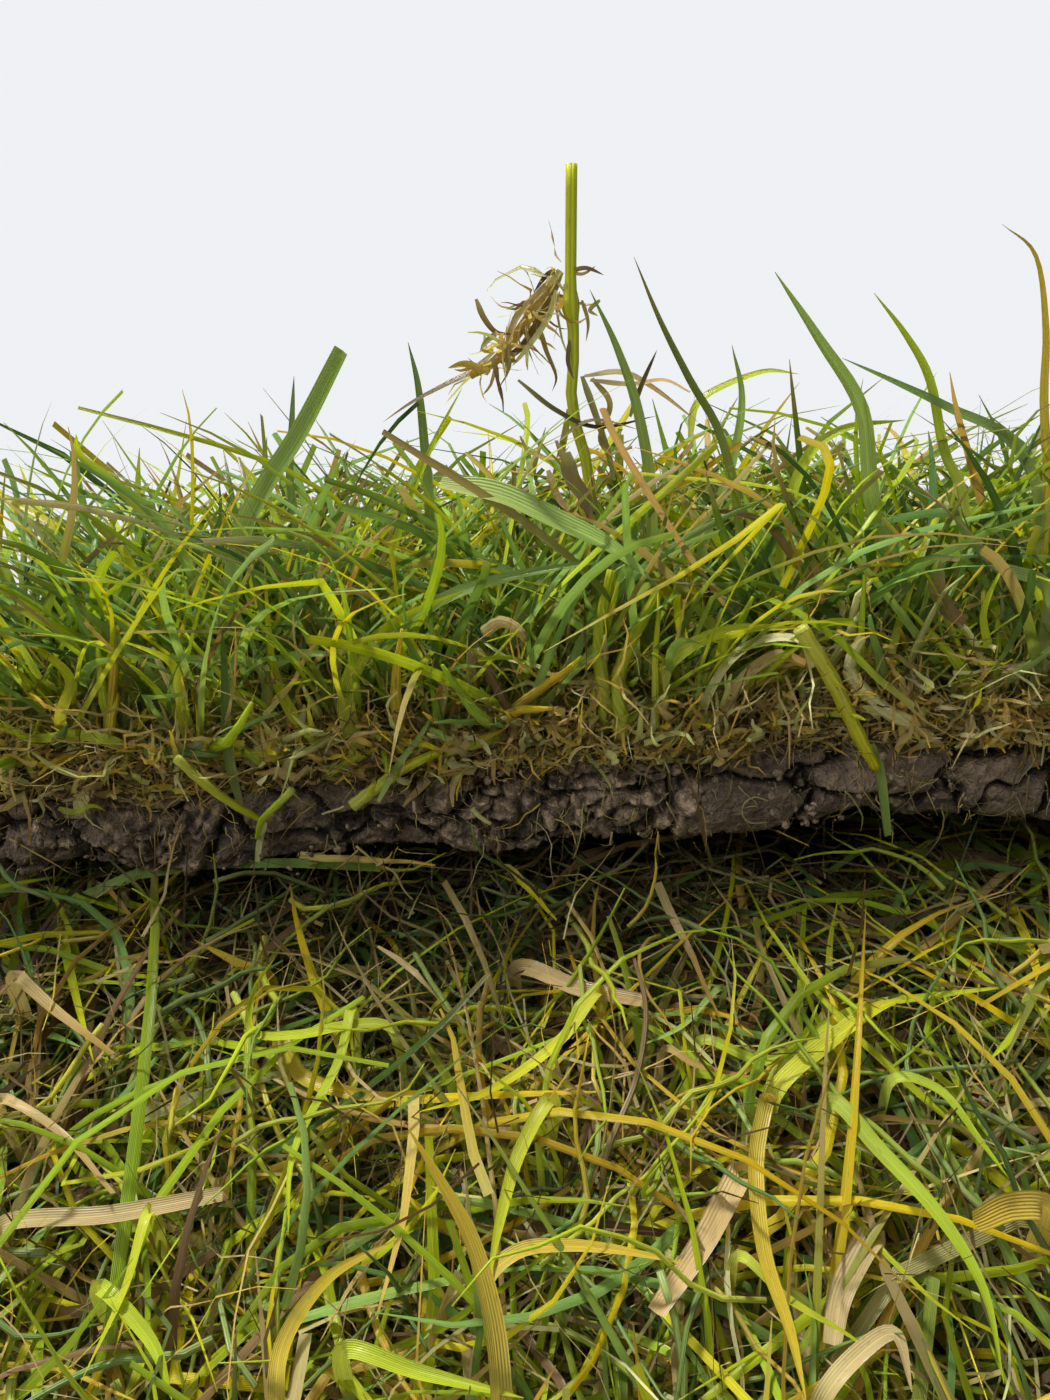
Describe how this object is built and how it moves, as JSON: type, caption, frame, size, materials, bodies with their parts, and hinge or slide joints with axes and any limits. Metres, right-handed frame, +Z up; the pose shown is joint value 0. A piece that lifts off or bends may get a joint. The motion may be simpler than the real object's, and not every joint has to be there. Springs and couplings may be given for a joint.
{
  "type": "roll of turf",
  "caption": "Roll of turf wound up grass side out round a small bore, its free end lapped over the top with the cut soil face showing.",
  "frame": {"origin": "middle of the roll's footprint, on the ground that it lies on", "axes": "+X along the roll, +Z up, and the free end laps over the top towards -Y"},
  "size_m": [0.406, 0.3432, 0.42],
  "materials": {
    "soil": "matte, dark moist soil matted with roots and straw",
    "grass": "soft green blades with some straw",
    "stalk": "smooth yellow-green stem with a brown joint"
  },
  "bodies": {
    "root": {"turf_mat": "soil", "grass": "grass", "flower_stalk": "stalk"}
  },
  "joints": []
}
